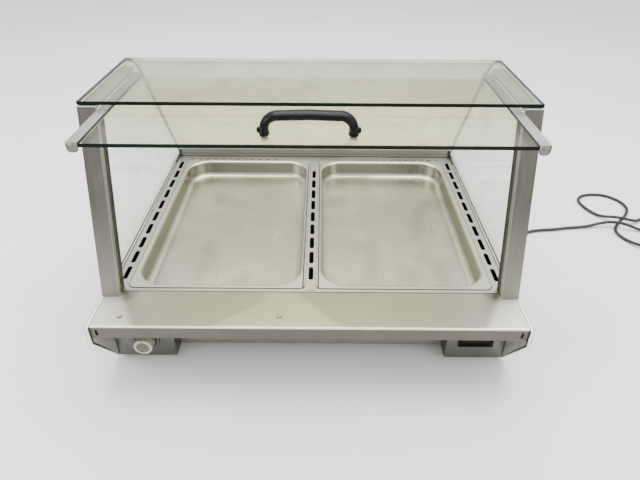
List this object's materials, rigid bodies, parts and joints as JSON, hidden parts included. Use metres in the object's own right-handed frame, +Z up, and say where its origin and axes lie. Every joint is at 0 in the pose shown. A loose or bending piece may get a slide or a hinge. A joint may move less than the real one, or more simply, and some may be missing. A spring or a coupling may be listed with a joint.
{
  "type": "heated display case",
  "caption": "Heated counter-top food display: bent glass, glass sides, steel base with lift-out pans, glass flap that slides and swings shut, thermostat knob, thermometer and mains lead.",
  "frame": {"origin": "centre of the base's footprint, on the plane that the feet stand on", "axes": "+Z up; +X to the right of someone standing at the operator's side; the operator stands at -Y and the bent customer glass faces +Y"},
  "size_m": [1.39, 0.8271, 0.4984],
  "materials": {
    "stainless_sheet": "fine brushed, scuffed",
    "post_steel": "brushed along the post",
    "rail_steel": "satin",
    "pan_steel": "satin with water stains",
    "element_sheath": "heat-tinted",
    "clear_glass": "polished, green edge",
    "black_rubber": "matt",
    "clear_silicone": "soft satin",
    "mineral_wool": "fibrous",
    "handle_plastic": "glossy moulded",
    "knob_plastic": "aged cream, moulded",
    "bezel_metal": "spun",
    "screw_steel": "bright",
    "nylon": "machined",
    "switch_plastic": "moulded",
    "display_frame": "moulded",
    "display_lens": "dark tinted",
    "lead_rubber": "satin",
    "pin_brass": "nickel-plated"
  },
  "bodies": {
    "case": {"bottom_cover": "stainless_sheet", "feet": "black_rubber", "front_apron": "stainless_sheet", "rear_panel": "stainless_sheet", "side_panel_left": "stainless_sheet", "side_panel_right": "stainless_sheet", "front_shelf": "stainless_sheet", "control_box_left": "stainless_sheet", "control_box_right": "stainless_sheet", "pan_deck": "stainless_sheet", "divider_bar": "stainless_sheet", "well_tank": "stainless_sheet", "insulation": "mineral_wool", "heating_element_left": "element_sheath", "heating_element_right": "element_sheath", "element_brackets": "stainless_sheet", "glass_channel": "stainless_sheet", "post_left": "post_steel", "post_right": "post_steel", "arm_left": "post_steel", "arm_right": "post_steel", "post_strips": "black_rubber", "bent_glass": "clear_glass", "side_glass_left": "clear_glass", "side_glass_right": "clear_glass", "glass_beads": "clear_silicone", "glass_seats": "stainless_sheet", "glass_gaskets": "black_rubber", "corner_seals": "black_rubber", "knob_bezel": "bezel_metal", "thermostat_body": "switch_plastic", "thermostat_bulb": "bezel_metal", "display_bezel": "display_frame", "display_window": "display_lens", "display_controller": "switch_plastic", "terminal_block": "switch_plastic", "shelf_screws": "screw_steel", "cable_gland": "lead_rubber", "mains_lead": "lead_rubber", "plug_body": "lead_rubber", "plug_pins": "pin_brass"},
    "flap_carriage": {"flap_pin_left": "screw_steel", "flap_pin_right": "screw_steel", "flap_rollers": "nylon"},
    "flap": {"flap_glass": "clear_glass", "flap_gaskets": "black_rubber", "flap_rail_left": "rail_steel", "flap_rail_right": "rail_steel", "flap_block_left": "nylon", "flap_block_right": "nylon", "flap_handle": "handle_plastic", "handle_screws": "screw_steel"},
    "knob": {"thermostat_knob": "knob_plastic", "knob_shaft": "screw_steel"},
    "left_pan": {"pan_left": "pan_steel"},
    "right_pan": {"pan_right": "pan_steel"}
  },
  "joints": [
    {"name": "flap_slide", "type": "slide", "parent": "case", "child": "flap_carriage", "axis": [0, -1, 0], "range_m": [0, 0.183]},
    {"name": "flap_swing", "type": "hinge", "parent": "flap_carriage", "child": "flap", "pos_m": [0, 0.00783, 0.459], "axis": [1, 0, 0], "range_deg": [0, 73.5]},
    {"name": "knob_turn", "type": "hinge", "parent": "case", "child": "knob", "pos_m": [-0.312, -0.29, 0.05], "axis": [0, -1, 0], "range_deg": [0, 270]},
    {"name": "pan_left_lift", "type": "slide", "parent": "case", "child": "left_pan", "axis": [0, 0, 1], "range_m": [0, 0.025]},
    {"name": "pan_right_lift", "type": "slide", "parent": "case", "child": "right_pan", "axis": [0, 0, 1], "range_m": [0, 0.025]}
  ],
  "couplings": [
    {"joint": "flap_slide", "follows": "flap_swing", "m_per_rad": 0.1426}
  ]
}
